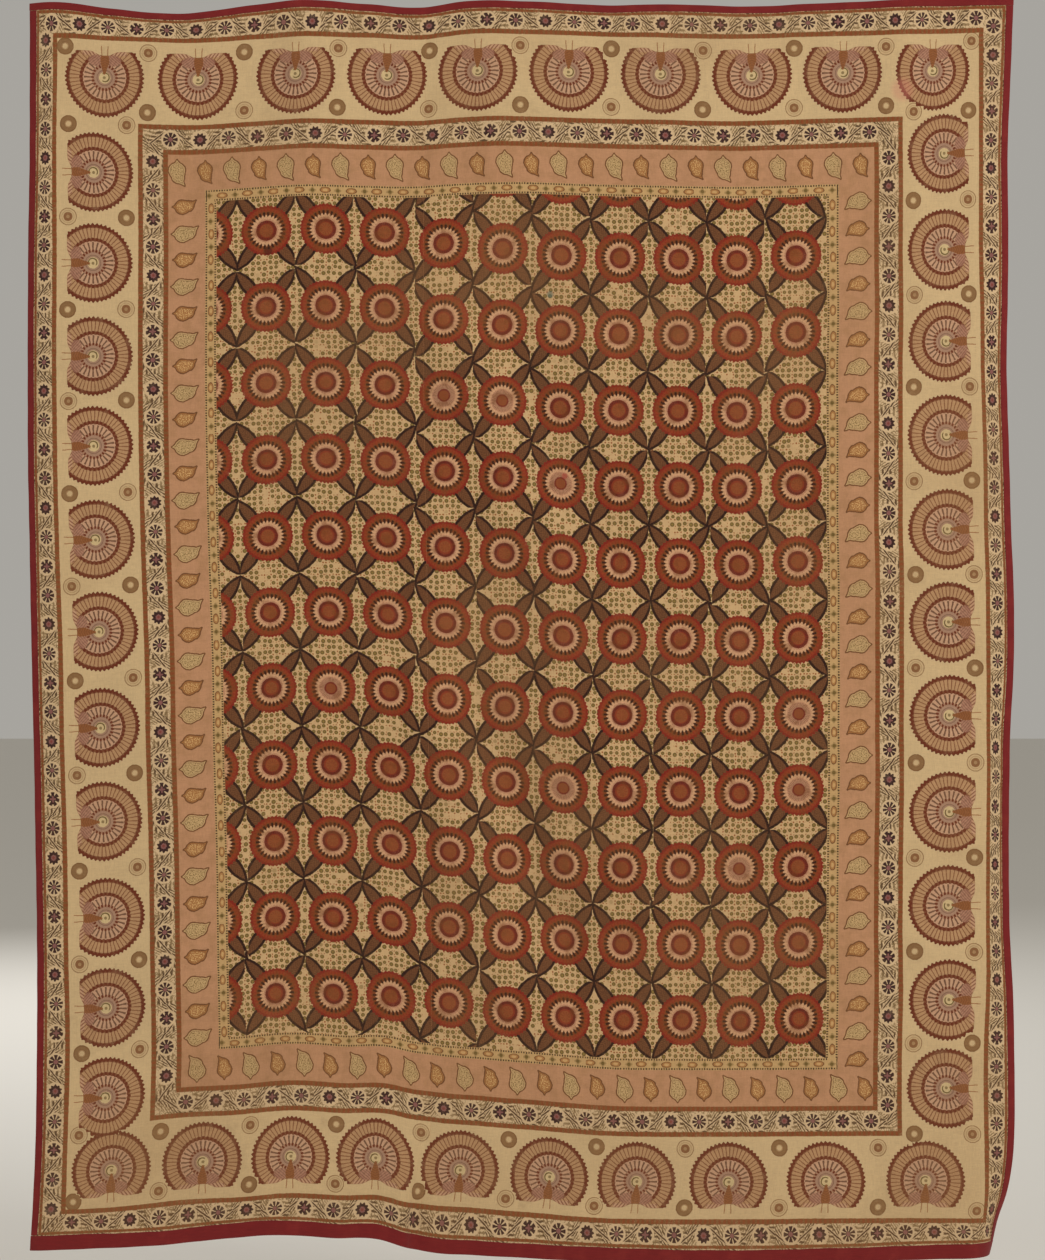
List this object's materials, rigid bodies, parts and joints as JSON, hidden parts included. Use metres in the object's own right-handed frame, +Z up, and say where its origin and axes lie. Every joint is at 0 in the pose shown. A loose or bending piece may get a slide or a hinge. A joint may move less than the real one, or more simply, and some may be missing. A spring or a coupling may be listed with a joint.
{
  "type": "block printed cotton hanging",
  "caption": "Upright cotton hanging of joined loom widths, block printed with a medallion field and peacock and floral borders, edged with a folded crimson strip and held along its top.",
  "frame": {"origin": "middle of the top edge", "axes": "+Z up the hanging, +X to the right as seen from the printed front, the front faces -Y"},
  "size_m": [1.929, 0.0718, 2.4728],
  "materials": {
    "printed_cotton": "matt plain-weave cotton, block printed in crimson, rust, dark brown, olive and pink on a cream ground, aged and softly worn",
    "crimson_binding": "matt crimson cotton strip, folded and hand sewn, a little faded"
  },
  "bodies": {
    "root": {"cloth_left": "printed_cotton", "cloth_right": "printed_cotton", "binding_top": "crimson_binding", "binding_bottom": "crimson_binding", "binding_left": "crimson_binding", "binding_right": "crimson_binding"}
  },
  "joints": []
}
